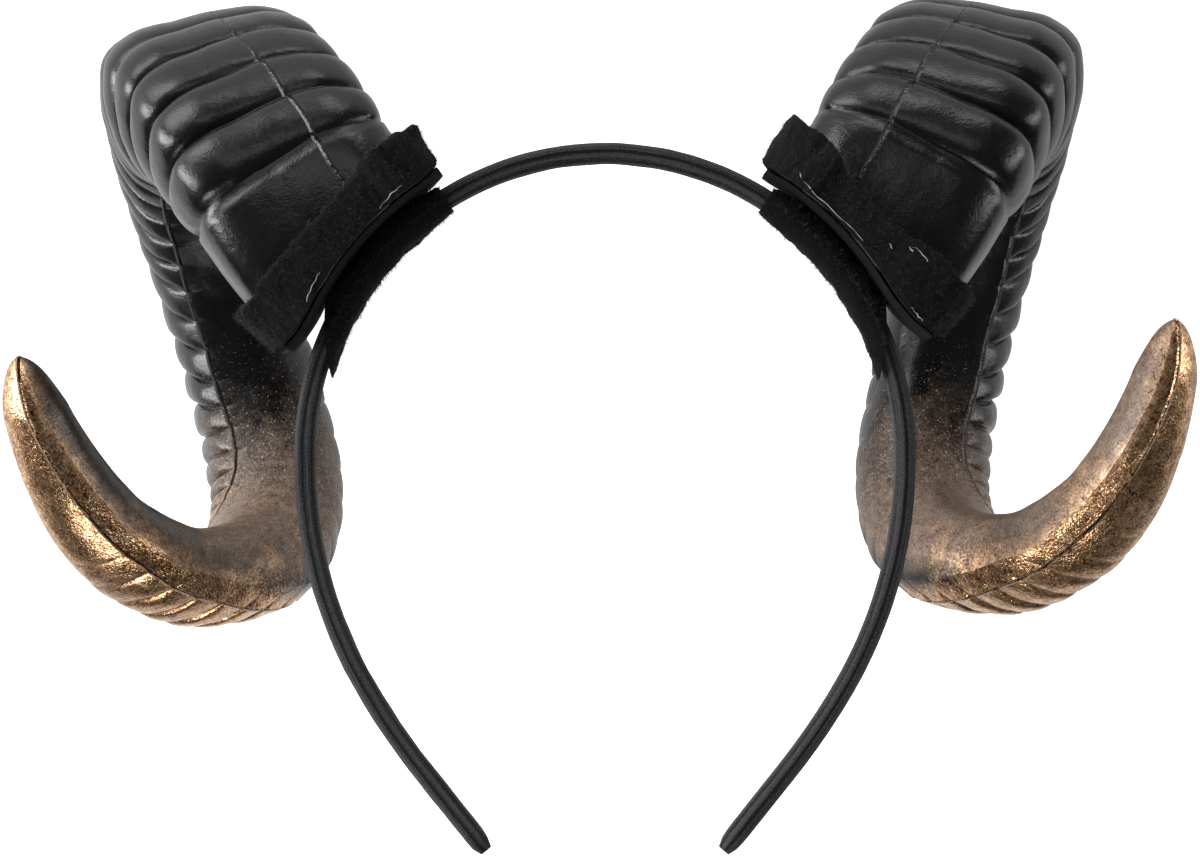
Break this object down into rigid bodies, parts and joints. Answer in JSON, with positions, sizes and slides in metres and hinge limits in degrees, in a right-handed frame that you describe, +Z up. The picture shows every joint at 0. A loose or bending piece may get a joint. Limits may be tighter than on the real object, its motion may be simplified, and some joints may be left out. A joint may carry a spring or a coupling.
{
  "type": "ram horns headband",
  "caption": "Headband with a pair of curled ram horns: ringed foam horns in ragged felt collars on felt pads, on a ribbon-wrapped band.",
  "frame": {"origin": "middle of the base: the part lies on its back on the rear curves of both horns, the floor at Z = 0", "axes": "+X to the right horn seen from the front, +Y towards the top of the head, +Z up, out of the worn front"},
  "size_m": [0.2556, 0.1652, 0.132],
  "materials": {
    "moulded_foam": "satin",
    "velvet_ribbon_band": "matte",
    "black_felt": "matte"
  },
  "bodies": {
    "root": {"headband": "velvet_ribbon_band", "band_sleeve_left": "black_felt", "band_sleeve_right": "black_felt", "felt_pad_left": "black_felt", "felt_pad_right": "black_felt", "horn_left": "moulded_foam", "horn_right": "moulded_foam", "felt_collar_left": "black_felt", "felt_collar_right": "black_felt"}
  },
  "joints": []
}
